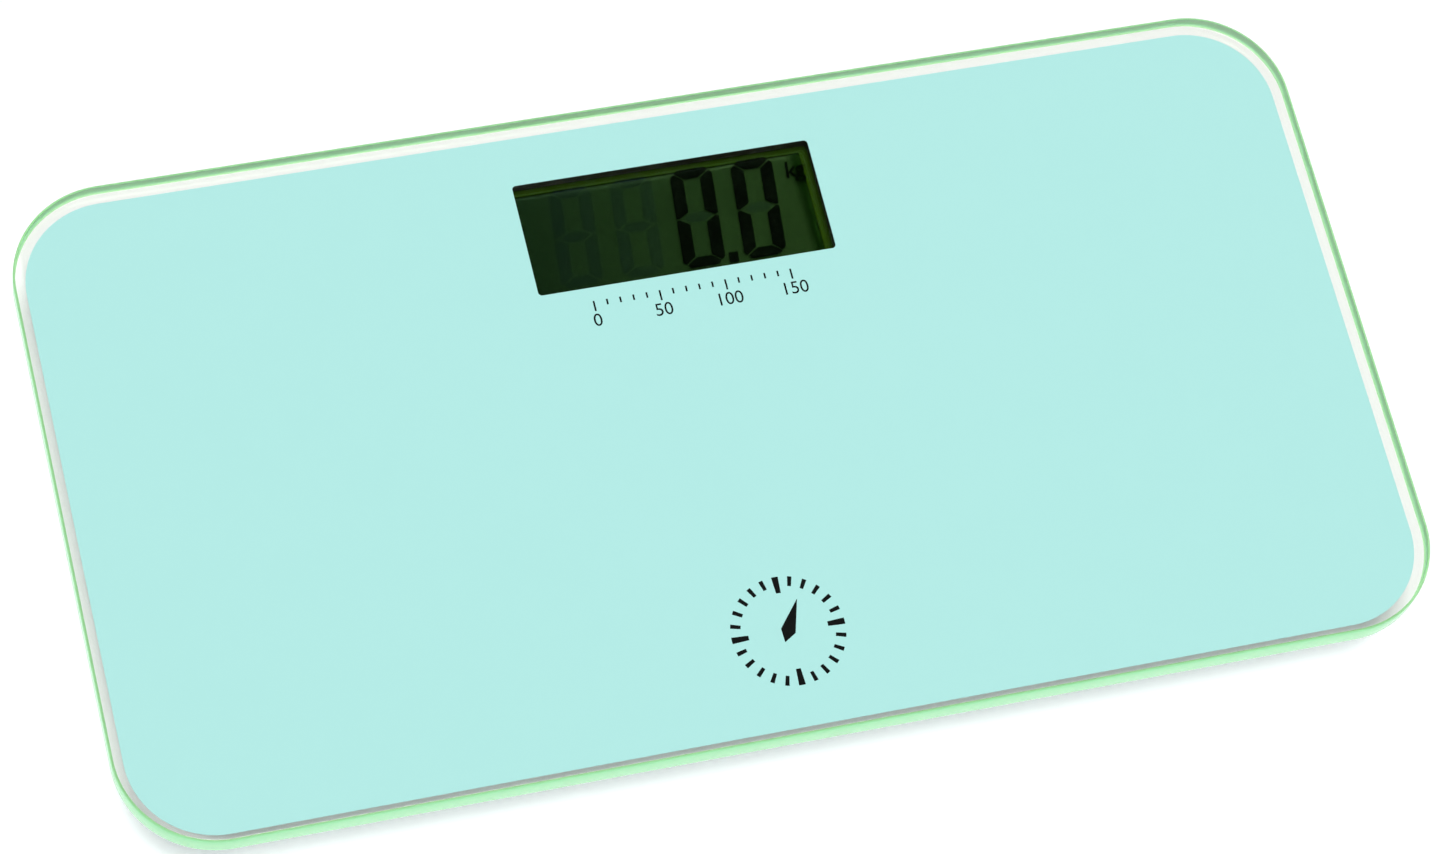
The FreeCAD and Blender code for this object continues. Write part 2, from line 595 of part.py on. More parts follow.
# ---------------------------------------------------------------- leads
def shifted_route(points, shift):
    """The route moved sideways in plan by shift, so that parallel leads keep their spacing round corners."""
    moved = []
    for n, here in enumerate(points):
        sides = []
        for a, b in ((n - 1, n), (n, n + 1)):
            if a >= 0 and b < len(points):
                run = point(points[b].x - points[a].x, points[b].y - points[a].y)
                sides.append(point(-run.y, run.x) / run.Length)
        side = sides[0] + sides[-1]
        moved.append(here + side * (2 * shift / side.Length ** 2))
    return moved


def lead(points):
    """A round wire of straight runs and tangent arcs, each arc as large as its two runs allow."""
    edges, start = [], points[0]
    for before, corner, after in zip(points, points[1:], points[2:]):
        run_in, run_out = corner - before, after - corner
        turn = run_in.getAngle(run_out)
        trim = 0.45 * min(run_in.Length, run_out.Length)
        radius = trim / math.tan(turn / 2)
        to_start = (before - corner).normalize()
        to_end = (after - corner).normalize()
        arc_start, arc_end = corner + to_start * trim, corner + to_end * trim
        bisector = (to_start + to_end).normalize()
        middle = corner + bisector * (radius / math.cos(turn / 2) - radius)
        edges.append(Part.LineSegment(start, arc_start).toShape())
        edges.append(Part.Arc(arc_start, middle, arc_end).toShape())
        start = arc_end
    edges.append(Part.LineSegment(start, points[-1]).toShape())
    path = Part.Wire(edges)
    section = Part.Wire(Part.makeCircle(WIRE_RADIUS, points[0], points[1] - points[0]))
    wire = path.makePipeShell([section], True, True)
    drawn = math.pi * WIRE_RADIUS ** 2 * path.Length
    if abs(wire.Volume - drawn) > 0.02 * drawn:
        raise ValueError("a lead's volume is not its section times its length")
    return wire


def cell_leads(sx, sy):
    """Three leads from one load cell, out of its seat, down to the cover's floor and in under the board."""
    gauge_z = CELL_TOP + 0.45
    run_z = BOARD_BOTTOM - WIRE_RADIUS
    y = sy * CELL_Y
    out = [point(sx * (CELL_X - 13.0), y, gauge_z), point(sx * (CELL_X - 21), y, gauge_z),
           point(sx * (CELL_X - 27), y, run_z)]
    if sy > 0:
        out += [point(sx * 56, y, run_z), point(sx * 46, y - 2, run_z), point(sx * 37, y - 2, run_z)]
    else:
        out += [point(sx * 60, y + 2, run_z), point(sx * 52, y + 12, run_z), point(sx * 50, -4, run_z),
                point(sx * 48, 14, run_z), point(sx * 44, 25, run_z), point(sx * 34, 30, run_z)]
    return [lead(shifted_route(out, n * WIRE_PITCH)) for n in (-1, 0, 1)]


def battery_leads():
    """One lead from each contact's tail to the front edge of the board."""
    top, run_z = nest_roof() + 1.45 + WIRE_RADIUS, BOARD_BOTTOM - WIRE_RADIUS
    positive = [point(COIN_RADIUS + 1.4, COIN_Y, top), point(COIN_RADIUS + 9, COIN_Y, top),
                point(COIN_RADIUS + 12, COIN_Y + 4, top - 2.4), point(COIN_RADIUS + 11, COIN_Y + 16, run_z),
                point(COIN_RADIUS + 6, COIN_Y + 24, run_z), point(COIN_RADIUS + 3, COIN_Y + 31, run_z)]
    negative = [point(0, COIN_Y + 3.7, top), point(0, COIN_Y + 12, top), point(-2, COIN_Y + 19, top),
                point(-4, COIN_Y + 24, run_z), point(-5, COIN_Y + 31, run_z)]
    return [lead(positive), lead(negative)]


# ---------------------------------------------------------------- the assembly
def main():
    os.makedirs("parts", exist_ok=True)
    write("glass_platform", glass_platform())
    write("printed_coat", printed_coat())
    write("mounting_tape", *mounting_tape())
    write("base_frame", base_frame())
    write("bottom_cover", bottom_cover())

    gauges = []
    for name, (sx, sy) in CORNERS.items():
        x, y = sx * CELL_X, sy * CELL_Y
        write("load_cell_" + name, load_cell(x, y))
        write("foot_" + name, foot(x, y))
        write("foot_pad_" + name, foot_pad(x, y))
        write("cell_leads_" + name, *cell_leads(sx, sy))
        gauges.append(strain_gauge(x, y))
    write("strain_gauges", *gauges)

    write("display_gasket", display_gasket())
    write("display_bezel", display_bezel())
    write("lcd_front_glass", lcd_front_glass())
    write("lcd_rear_glass", lcd_rear_glass())
    write("lcd_reflector", lcd_reflector())
    write("contact_strips", *contact_strips())
    write("circuit_board", circuit_board())
    write("controller_blob", controller_blob())
    write("board_components", *board_components())

    write("tact_switch", tact_switch())
    write("switch_plunger", switch_plunger())
    write("unit_button", unit_button())
    write("battery", battery())
    write("battery_contact_negative", battery_contact_negative())
    write("battery_contact_positive", battery_contact_positive())
    write("battery_leads", *battery_leads())
    write("battery_door", battery_door())
    write("case_screws", *case_screws())
    write("board_screws", *board_screws())


main()
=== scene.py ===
import math

import bmesh
import bpy
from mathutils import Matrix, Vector


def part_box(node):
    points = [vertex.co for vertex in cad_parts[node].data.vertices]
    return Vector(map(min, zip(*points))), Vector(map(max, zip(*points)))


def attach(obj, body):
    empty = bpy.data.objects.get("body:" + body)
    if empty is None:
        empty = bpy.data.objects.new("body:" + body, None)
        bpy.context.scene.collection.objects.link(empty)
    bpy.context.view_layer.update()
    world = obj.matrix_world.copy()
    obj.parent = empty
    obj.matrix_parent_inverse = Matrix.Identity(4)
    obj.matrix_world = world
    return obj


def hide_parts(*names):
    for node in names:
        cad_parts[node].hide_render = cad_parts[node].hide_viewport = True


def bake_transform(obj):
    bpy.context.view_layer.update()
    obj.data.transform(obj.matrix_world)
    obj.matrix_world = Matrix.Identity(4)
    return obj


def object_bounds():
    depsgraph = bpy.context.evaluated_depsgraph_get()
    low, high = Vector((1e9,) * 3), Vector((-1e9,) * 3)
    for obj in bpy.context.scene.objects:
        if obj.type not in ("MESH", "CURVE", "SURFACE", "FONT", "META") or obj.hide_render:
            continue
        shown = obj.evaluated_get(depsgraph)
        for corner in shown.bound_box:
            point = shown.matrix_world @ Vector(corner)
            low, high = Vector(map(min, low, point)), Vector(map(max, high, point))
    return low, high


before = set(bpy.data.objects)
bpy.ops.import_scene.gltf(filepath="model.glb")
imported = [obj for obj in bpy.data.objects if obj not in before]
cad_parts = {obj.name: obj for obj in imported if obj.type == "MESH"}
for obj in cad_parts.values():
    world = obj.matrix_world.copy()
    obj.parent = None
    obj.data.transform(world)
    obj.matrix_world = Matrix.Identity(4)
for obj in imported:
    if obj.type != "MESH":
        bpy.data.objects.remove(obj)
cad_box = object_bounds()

# ---------------------------------------------------------------------------------------------
# Glass platform
# One sheet of 5 mm soda-lime glass, cut and ground to shape, its rim polished and its arrises
# rounded before it is tempered. Everything else hangs from its underside.
# ---------------------------------------------------------------------------------------------
CORNER_RADIUS = 0.0195
ARRIS_RADIUS = 0.0005
ARRIS_STEPS = 4
CORNER_STEPS = 24
GLASS_IOR = 1.52
RIM_MATERIAL = 1


def add_node(tree, kind, sockets=None, **settings):
    """One shader node, with its settings, and a value or a link on each named socket."""
    node = tree.nodes.new("ShaderNode" + kind)
    for name, value in settings.items():
        setattr(node, name, value)
    for socket, value in (sockets or {}).items():
        if isinstance(value, bpy.types.NodeSocket):
            tree.links.new(value, node.inputs[socket])
        else:
            node.inputs[socket].default_value = value
    return node


def new_group(name, inputs, outputs):
    """An empty shader node group. Inputs are plain numbers with a default, outputs are numbers."""
    tree = bpy.data.node_groups.new(name, "ShaderNodeTree")
    for label, default in inputs.items():
        socket = tree.interface.new_socket(label, in_out="INPUT", socket_type="NodeSocketFloat")
        socket.default_value = default
    for label in outputs:
        tree.interface.new_socket(label, in_out="OUTPUT", socket_type="NodeSocketFloat")
    return tree, tree.nodes.new("NodeGroupInput"), tree.nodes.new("NodeGroupOutput")


def use_group(material, group, **values):
    """A group placed in a material, with its own values."""
    node = material.node_tree.nodes.new("ShaderNodeGroup")
    node.node_tree = group
    for label, value in values.items():
        node.inputs[label.replace("_", " ")].default_value = value
    return node


def new_material(name, sockets):
    """A material with one Principled shader, and plain values on the named sockets."""
    material = bpy.data.materials.new(name)
    material.use_nodes = True
    for socket, value in sockets.items():
        surface_of(material).inputs[socket].default_value = value
    return material


def surface_of(material):
    return material.node_tree.nodes["Principled BSDF"]


def set_colour(material, shade, dark, light):
    """Base colour between two tones, as the shade goes from 0 to 1."""
    blend = add_node(material.node_tree, "Mix", {0: shade, 6: (*dark, 1), 7: (*light, 1)}, data_type="RGBA")
    material.node_tree.links.new(blend.outputs[2], surface_of(material).inputs["Base Color"])
    return blend.outputs[2]


def set_roughness(material, shade, smooth, rough):
    """Roughness between two values, as the shade goes from 0 to 1."""
    spread = add_node(material.node_tree, "MapRange", {"Value": shade, "To Min": smooth, "To Max": rough})
    material.node_tree.links.new(spread.outputs[0], surface_of(material).inputs["Roughness"])


def set_relief(material, height, distance, strength=1.0):
    """Bump of a real height in metres."""
    bump = add_node(material.node_tree, "Bump",
                    {"Height": height, "Distance": distance, "Strength": strength})
    material.node_tree.links.new(bump.outputs[0], surface_of(material).inputs["Normal"])


def smudge_group():
    """Hand marks and wiped haze: a slow cloud broken up by a finer one."""
    tree, given, result = new_group("wiped_haze", {"Size": 0.03, "Contrast": 1.0}, ["Haze"])
    place = add_node(tree, "TexCoord").outputs["Object"]
    scale = add_node(tree, "Math", {0: 1.0, 1: given.outputs["Size"]}, operation="DIVIDE")
    cloud = add_node(tree, "TexNoise", {"Vector": place, "Scale": scale.outputs[0], "Detail": 3.0})
    level = add_node(tree, "Math", {0: cloud.outputs["Fac"], 1: 0.5}, operation="SUBTRACT")
    sharp = add_node(tree, "Math", {0: level.outputs[0], 1: given.outputs["Contrast"], 2: 0.5},
                     operation="MULTIPLY_ADD", use_clamp=True)
    tree.links.new(sharp.outputs[0], result.inputs["Haze"])
    return tree


WIPED_HAZE = smudge_group()


def let_lamps_through(material, tint):
    """Lamps and scattered light cross this glass without a bend, so that what is behind it is lit evenly."""
    tree = material.node_tree
    clear = add_node(tree, "BsdfTransparent", {"Color": (*tint, 1)})
    path = add_node(tree, "LightPath")
    lighting = add_node(tree, "Math", {0: path.outputs["Is Shadow Ray"], 1: path.outputs["Is Diffuse Ray"]},
                        operation="MAXIMUM")
    swap = add_node(tree, "MixShader", {0: lighting.outputs[0], 1: surface_of(material).outputs[0],
                                        2: clear.outputs[0]})
    tree.links.new(swap.outputs[0], tree.nodes["Material Output"].inputs["Surface"])


def polished_glass():
    material = new_material("polished_glass", {"Base Color": (0.90, 0.90, 0.86, 1),
                                               "Transmission Weight": 1.0, "IOR": GLASS_IOR})
    haze = use_group(material, WIPED_HAZE, Size=0.04, Contrast=1.4)
    set_roughness(material, haze.outputs["Haze"], 0.0, 0.012)
    set_relief(material, haze.outputs["Haze"], 0.000002)
    let_lamps_through(material, (0.96, 0.99, 0.97))
    return material


def ground_rim():
    """Ground with fine wheels and then polished: clear green glass under a satin skin."""
    material = new_material("ground_rim", {"Transmission Weight": 0.45, "IOR": GLASS_IOR})
    place = add_node(material.node_tree, "TexCoord").outputs["Object"]
    along = add_node(material.node_tree, "Mapping", {"Vector": place, "Scale": (60, 60, 4000)})
    lines = add_node(material.node_tree, "TexNoise",
                     {"Vector": along.outputs[0], "Scale": 1.0, "Detail": 4.0})
    set_colour(material, lines.outputs["Fac"], (0.36, 0.84, 0.33), (0.42, 0.92, 0.38))
    set_roughness(material, lines.outputs["Fac"], 0.16, 0.30)
    set_relief(material, lines.outputs["Fac"], 0.000004)
    let_lamps_through(material, (0.96, 0.99, 0.97))
    return material


def rounded_outline(low, high, radius, steps):
    """Points round a rectangle with arc corners, anticlockwise seen from above."""
    middle, half = (low + high) / 2, (high - low) / 2
    points = []
    for side_x, side_y, start in ((1, -1, -90), (1, 1, 0), (-1, 1, 90), (-1, -1, 180)):
        for step in range(steps + 1):
            angle = math.radians(start + 90 * step / steps)
            points.append(Vector((middle.x + side_x * (half.x - radius) + radius * math.cos(angle),
                                  middle.y + side_y * (half.y - radius) + radius * math.sin(angle), 0)))
    return points


def link(name, mesh, materials):
    piece = bpy.data.objects.new(name, mesh)
    bpy.context.scene.collection.objects.link(piece)
    for material in materials:
        mesh.materials.append(material)
    return piece


def rounded_sheet(name, low, high, radius, arris, materials, rim_material=0):
    """A flat sheet with arc corners and rounded arrises. Its two faces stay truly flat."""
    turns = [math.radians(90 * step / ARRIS_STEPS) for step in range(ARRIS_STEPS + 1)]
    upper = [(arris * (1 - math.cos(turn)), high.z - arris * (1 - math.sin(turn))) for turn in turns]
    profile = [(inset, low.z + high.z - z) for inset, z in reversed(upper)] + upper
    shape = bmesh.new()
    rings = []
    for inset, z in profile:
        step_in = Vector((inset, inset, 0))
        ring = rounded_outline(low + step_in, high - step_in, radius - inset, CORNER_STEPS)
        rings.append([shape.verts.new((point.x, point.y, z)) for point in ring])
    for below, above in zip(rings, rings[1:]):
        for start in range(len(below)):
            end = (start + 1) % len(below)
            wall = shape.faces.new((below[start], below[end], above[end], above[start]))
            wall.smooth = True
            wall.material_index = rim_material
    for cap in (shape.faces.new(list(reversed(rings[0]))), shape.faces.new(rings[-1])):
        for edge in cap.edges:
            edge.smooth = False
    mesh = bpy.data.meshes.new(name)
    shape.to_mesh(mesh)
    shape.free()
    return link(name, mesh, materials)


glass_low, glass_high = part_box("glass_platform")
platform = rounded_sheet("glass_plate", glass_low, glass_high, CORNER_RADIUS, ARRIS_RADIUS,
                         [polished_glass(), ground_rim()], RIM_MATERIAL)
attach(platform, "scale")
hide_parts("glass_platform")

# ---------------------------------------------------------------------------------------------
# Printed coat
# Two passes of mint screen ink on the underside of the glass, baked on, with a bare window left
# over the display. The ink wets the glass, so there is no air between them.
# ---------------------------------------------------------------------------------------------
COAT_RADIUS = 0.017
WINDOW_SIZE = Vector((0.0606, 0.0242, 0))
WINDOW_RADIUS = 0.0008
WINDOW_STEPS = 6
INK_BITE = 0.00002


def cut_sheet(name, outlines, bottom, top, materials):
    """A flat sheet filled between closed outlines, the later ones being holes or islands."""
    curve = bpy.data.curves.new(name, "CURVE")
    curve.dimensions = "2D"
    curve.fill_mode = "BOTH"
    curve.extrude = (top - bottom) / 2
    for outline in outlines:
        spline = curve.splines.new("POLY")
        spline.points.add(len(outline) - 1)
        for target, point in zip(spline.points, outline):
            target.co = (point[0], point[1], 0, 1)
        spline.use_cyclic_u = True
    return flat_mesh(name, curve, (bottom + top) / 2, materials)


def flat_mesh(name, curve, height, materials, corner=(0, 0)):
    """The mesh of a filled curve or of lettering, set at a height."""
    drawn = bpy.data.objects.new(name + "_outline", curve)
    bpy.context.scene.collection.objects.link(drawn)
    bpy.context.view_layer.update()
    mesh = bpy.data.meshes.new_from_object(drawn.evaluated_get(bpy.context.evaluated_depsgraph_get()))
    bpy.data.objects.remove(drawn)
    for vertex in mesh.vertices:
        vertex.co += Vector((corner[0], corner[1], height))
    mesh.materials.clear()
    return link(name, mesh, materials)


def mint_ink():
    material = new_material("mint_ink", {"Specular IOR Level": 0.0})
    haze = use_group(material, WIPED_HAZE, Size=0.015, Contrast=1.2)
    set_colour(material, haze.outputs["Haze"], (0.519, 0.917, 0.909), (0.525, 0.923, 0.915))
    set_roughness(material, haze.outputs["Haze"], 0.55, 0.62)
    set_relief(material, haze.outputs["Haze"], 0.000001)
    return material


coat_low, coat_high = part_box("printed_coat")
bezel_low, bezel_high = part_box("display_bezel")
window_middle = (bezel_low + bezel_high) / 2
window_outline = rounded_outline(window_middle - WINDOW_SIZE / 2, window_middle + WINDOW_SIZE / 2,
                                 WINDOW_RADIUS, WINDOW_STEPS)
coat_outline = rounded_outline(coat_low, coat_high, COAT_RADIUS, CORNER_STEPS)
coat = cut_sheet("print_coat", [coat_outline, window_outline], coat_low.z, glass_low.z + INK_BITE,
                 [mint_ink()])
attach(coat, "scale")
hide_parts("printed_coat")

# ---------------------------------------------------------------------------------------------
# Black print
# A numbered graduation and a dial mark, screened on the glass before the mint, so they read
# through it in front of the mint ground.
# ---------------------------------------------------------------------------------------------
GRADUATION_HALF = 0.0200
GRADUATION_TOP = 0.0282
GRADUATION_STEPS = 15
STEPS_PER_NUMBER = 5
NUMBER_PER_STEP = 10
LONG_TICK = 0.0022
SHORT_TICK = 0.0012
TICK_HALF_WIDTH = 0.00018
NUMERAL_SIZE = 0.0038
NUMERAL_BASE = 0.0228
INK_LAYER = 0.00002
DIAL_MIDDLE = Vector((0.001, -0.046, 0))
DIAL_RADIUS = 0.0112
DIAL_TICKS = 24
TICKS_PER_QUARTER = 6
DIAL_TICK_HALF = 2.2
LONG_DIAL_TICK_HALF = 3.4
DIAL_TICK_INNER = 0.82
LONG_DIAL_TICK_INNER = 0.70
DIAL_TICK_STEPS = 3
NEEDLE_HEADING = 62
NEEDLE_TIP = 0.62
NEEDLE_WAIST = 0.13
NEEDLE_TAIL = 0.22


def black_ink():
    material = new_material("black_ink", {"Specular IOR Level": 0.0})
    haze = use_group(material, WIPED_HAZE, Size=0.004, Contrast=1.5)
    set_colour(material, haze.outputs["Haze"], (0.008, 0.009, 0.009), (0.012, 0.013, 0.013))
    set_roughness(material, haze.outputs["Haze"], 0.45, 0.6)
    set_relief(material, haze.outputs["Haze"], 0.000001)
    return material


def around(middle, radius, degrees):
    angle = math.radians(degrees)
    return (middle.x + radius * math.cos(angle), middle.y + radius * math.sin(angle))


def arc_band(middle, inner, outer, start, end, steps):
    """Outline of a curved bar between two radii and two angles."""
    angles = [start + (end - start) * step / steps for step in range(steps + 1)]
    return [around(middle, outer, a) for a in angles] + [around(middle, inner, a) for a in reversed(angles)]


print_ink = black_ink()
ink_low = glass_low.z + INK_BITE
ink_high = ink_low + INK_LAYER

marks = []
prints = []
for step in range(GRADUATION_STEPS + 1):
    place = GRADUATION_HALF * (2 * step / GRADUATION_STEPS - 1)
    numbered = step % STEPS_PER_NUMBER == 0
    tick_end = GRADUATION_TOP - (LONG_TICK if numbered else SHORT_TICK)
    marks.append([(place - TICK_HALF_WIDTH, tick_end), (place + TICK_HALF_WIDTH, tick_end),
                  (place + TICK_HALF_WIDTH, GRADUATION_TOP), (place - TICK_HALF_WIDTH, GRADUATION_TOP)])
    if numbered:
        name = "graduation_number_%d" % (step * NUMBER_PER_STEP)
        numeral = bpy.data.curves.new(name, "FONT")
        numeral.body = str(step * NUMBER_PER_STEP)
        numeral.size = NUMERAL_SIZE
        numeral.align_x = "CENTER"
        numeral.extrude = INK_LAYER / 2
        prints.append(flat_mesh(name, numeral, (ink_low + ink_high) / 2, [print_ink], (place, NUMERAL_BASE)))
prints.append(cut_sheet("graduation_ticks", marks, ink_low, ink_high, [print_ink]))

ticks = []
for number in range(DIAL_TICKS):
    heading = 360 * number / DIAL_TICKS
    long_tick = number % TICKS_PER_QUARTER == 0
    half_width = LONG_DIAL_TICK_HALF if long_tick else DIAL_TICK_HALF
    inner = DIAL_RADIUS * (LONG_DIAL_TICK_INNER if long_tick else DIAL_TICK_INNER)
    ticks.append(arc_band(DIAL_MIDDLE, inner, DIAL_RADIUS, heading - half_width, heading + half_width,
                          DIAL_TICK_STEPS))
dial_ticks = cut_sheet("dial_ticks", ticks, ink_low, ink_high, [print_ink])
needle_shape = [(NEEDLE_TIP, 0), (NEEDLE_WAIST, 90), (NEEDLE_TAIL, 180), (NEEDLE_WAIST, 270)]
needle_outline = [around(DIAL_MIDDLE, DIAL_RADIUS * share, NEEDLE_HEADING + turn)
                  for share, turn in needle_shape]
dial_needle = cut_sheet("dial_needle", [needle_outline], ink_low, ink_high, [print_ink])
for piece in prints + [dial_ticks, dial_needle]:
    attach(piece, "scale")

# ---------------------------------------------------------------------------------------------
# Mounting tape and display gasket
# Closed-cell foam: white double-sided strips that bond the base to the glass, and a black frame
# that keeps dust out of the display well.
# ---------------------------------------------------------------------------------------------


def foam_group():
    """Closed cells of foam, as rounded pits."""
    tree, given, result = new_group("foam_cells", {"Cell": 0.0002}, ["Height", "Shade"])
    place = add_node(tree, "TexCoord").outputs["Object"]
    scale = add_node(tree, "Math", {0: 1.0, 1: given.outputs["Cell"]}, operation="DIVIDE")
    cells = add_node(tree, "TexVoronoi", {"Vector": place, "Scale": scale.outputs[0]})
    cloud = add_node(tree, "TexNoise", {"Vector": place, "Scale": 120.0, "Detail": 3.0})
    tree.links.new(cells.outputs["Distance"], result.inputs["Height"])
    tree.links.new(cloud.outputs["Fac"], result.inputs["Shade"])
    return tree


FOAM_CELLS = foam_group()


def foam(name, dark, light):
    material = new_material(name, {"Specular IOR Level": 0.25})
    cells = use_group(material, FOAM_CELLS, Cell=0.00018)
    set_colour(material, cells.outputs["Shade"], dark, light)
    set_roughness(material, cells.outputs["Height"], 0.95, 0.75)
    set_relief(material, cells.outputs["Height"], 0.00005, 0.7)
    return material


def dress(material, *names):
    """Gives carried CAD nodes their finish."""
    for name in names:
        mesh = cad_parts[name].data
        mesh.materials.clear()
        mesh.materials.append(material)


dress(foam("white_foam", (0.62, 0.63, 0.61), (0.74, 0.75, 0.73)), "mounting_tape")
dress(foam("black_foam", (0.010, 0.009, 0.003), (0.018, 0.016, 0.005)), "display_gasket")

# ---------------------------------------------------------------------------------------------
# Base frame, bottom cover and battery door
# Injection-moulded white ABS. The mould is spark-eroded, which leaves a fine matt grain, and the
# outer edges are slightly paler where hands and floors rub them.
# ---------------------------------------------------------------------------------------------


def grain_group():
    """Spark-eroded grain, fine pits on a slower ripple."""
    tree, given, result = new_group("moulded_grain", {"Pit": 0.0003, "Ripple": 0.01}, ["Height", "Shade"])
    place = add_node(tree, "TexCoord").outputs["Object"]
    fine = add_node(tree, "Math", {0: 1.0, 1: given.outputs["Pit"]}, operation="DIVIDE")
    slow = add_node(tree, "Math", {0: 1.0, 1: given.outputs["Ripple"]}, operation="DIVIDE")
    pits = add_node(tree, "TexNoise", {"Vector": place, "Scale": fine.outputs[0], "Detail": 2.0})
    ripple = add_node(tree, "TexNoise", {"Vector": place, "Scale": slow.outputs[0], "Detail": 4.0})
    tree.links.new(pits.outputs["Fac"], result.inputs["Height"])
    tree.links.new(ripple.outputs["Fac"], result.inputs["Shade"])
    return tree


def wear_group():
    """1 on a rubbed edge and 0 on a flat, from the angle between the true and a rounded normal."""
    tree, given, result = new_group("rubbed_edges", {"Width": 0.0004, "Gain": 6.0}, ["Wear"])
    rounded = add_node(tree, "Bevel", {"Radius": given.outputs["Width"]}, samples=4)
    true = add_node(tree, "NewGeometry").outputs["Normal"]
    alike = add_node(tree, "VectorMath", {0: rounded.outputs[0], 1: true}, operation="DOT_PRODUCT")
    apart = add_node(tree, "Math", {0: 1.0, 1: alike.outputs["Value"]}, operation="SUBTRACT")
    place = add_node(tree, "TexCoord").outputs["Object"]
    patches = add_node(tree, "TexNoise", {"Vector": place, "Scale": 180.0, "Detail": 3.0})
    broken = add_node(tree, "Math", {0: apart.outputs[0], 1: patches.outputs["Fac"]}, operation="MULTIPLY")
    gained = add_node(tree, "Math", {0: broken.outputs[0], 1: given.outputs["Gain"]},
                      operation="MULTIPLY", use_clamp=True)
    tree.links.new(gained.outputs[0], result.inputs["Wear"])
    return tree


MOULDED_GRAIN = grain_group()
RUBBED_EDGES = wear_group()


def moulded_plastic(name, dark, light, rubbed, pit=0.00035, matt=(0.42, 0.58), relief=0.00001):
    """A moulded polymer with grain, slow colour drift and rubbed edges."""
    material = new_material(name, {"IOR": 1.54})
    grain = use_group(material, MOULDED_GRAIN, Pit=pit, Ripple=0.012)
    wear = use_group(material, RUBBED_EDGES, Width=0.0004, Gain=5.0)
    ground = set_colour(material, grain.outputs["Shade"], dark, light)
    worn = add_node(material.node_tree, "Mix", {0: wear.outputs["Wear"], 6: ground, 7: (*rubbed, 1)},
                    data_type="RGBA")
    material.node_tree.links.new(worn.outputs[2], surface_of(material).inputs["Base Color"])
    set_roughness(material, grain.outputs["Height"], *matt)
    set_relief(material, grain.outputs["Height"], relief)
    return material


white_abs = moulded_plastic("white_abs", (0.66, 0.68, 0.66), (0.72, 0.74, 0.72), (0.80, 0.81, 0.80))
dress(white_abs, "base_frame", "bottom_cover", "battery_door")

# ---------------------------------------------------------------------------------------------
# Load cells and strain gauges
# Stamped spring steel, zinc plated, one in each corner seat. The seat clamps the outer frame, and
# the tongue inside it bends at its waist as the foot rises. White sealant covers the gauge.
# ---------------------------------------------------------------------------------------------
CELL_CORNER = 0.004
CELL_STEPS = 6
CELL_OPENING = Vector((0.0105, 0.0097, 0))
OPENING_CORNER = 0.0001
TONGUE_HALF = 0.0075
TONGUE_TIP = -0.0083
WAIST_PLACE = 0.007
WAIST_RADIUS = 0.0016
STEM_HOLE = 0.0025
BEND_START = 0.0080
BEND_END = 0.0055
BEND_CUTS = 6
ARC_STEPS = 16
SEAM = 1e-7


def brushed_group():
    """Fine rolling lines along X."""
    tree, given, result = new_group("rolled_lines", {"Fineness": 6000.0}, ["Height", "Shade"])
    place = add_node(tree, "TexCoord").outputs["Object"]
    across = add_node(tree, "CombineXYZ",
                      {0: 90.0, 1: given.outputs["Fineness"], 2: given.outputs["Fineness"]})
    stretched = add_node(tree, "VectorMath", {0: place, 1: across.outputs[0]}, operation="MULTIPLY")
    lines = add_node(tree, "TexNoise", {"Vector": stretched.outputs[0], "Scale": 1.0, "Detail": 3.0})
    patches = add_node(tree, "TexNoise", {"Vector": place, "Scale": 150.0, "Detail": 4.0})
    tree.links.new(lines.outputs["Fac"], result.inputs["Height"])
    tree.links.new(patches.outputs["Fac"], result.inputs["Shade"])
    return tree


ROLLED_LINES = brushed_group()


def plated_metal(name, dark, light, smooth=0.22, rough=0.42, fineness=6000.0):
    """Metal with rolling lines under a thin plating that dulls in patches."""
    material = new_material(name, {"Metallic": 1.0})
    lines = use_group(material, ROLLED_LINES, Fineness=fineness)
    set_colour(material, lines.outputs["Shade"], dark, light)
    set_roughness(material, lines.outputs["Shade"], smooth, rough)
    set_relief(material, lines.outputs["Height"], 0.000002)
    return material


def tongue_outline():
    """The tongue from its root, at CELL_OPENING.x, to its tip, with a round notch on each side."""
    half, root = TONGUE_HALF, CELL_OPENING.x
    turns = [math.pi * step / ARC_STEPS for step in range(ARC_STEPS + 1)]
    notch = [(WAIST_PLACE + WAIST_RADIUS * math.cos(turn), half - WAIST_RADIUS * math.sin(turn))
             for turn in turns]
    upper = [(root, half)] + notch + [(TONGUE_TIP, half)]
    return upper + [(along, -across) for along, across in reversed(upper)]


def crosscut(piece, middle, inward):
    """Closes the sheet's seams and adds edges across it where it bends."""
    shape = bmesh.new()
    shape.from_mesh(piece.data)
    bmesh.ops.remove_doubles(shape, verts=shape.verts, dist=SEAM)
    for cut in range(BEND_CUTS + 1):
        along = BEND_START + (BEND_END - BEND_START) * cut / BEND_CUTS
        bmesh.ops.bisect_plane(shape, geom=shape.verts[:] + shape.edges[:] + shape.faces[:],
                               plane_co=(middle.x + inward * along, 0, 0), plane_no=(1, 0, 0))
    shape.to_mesh(piece.data)
    shape.free()


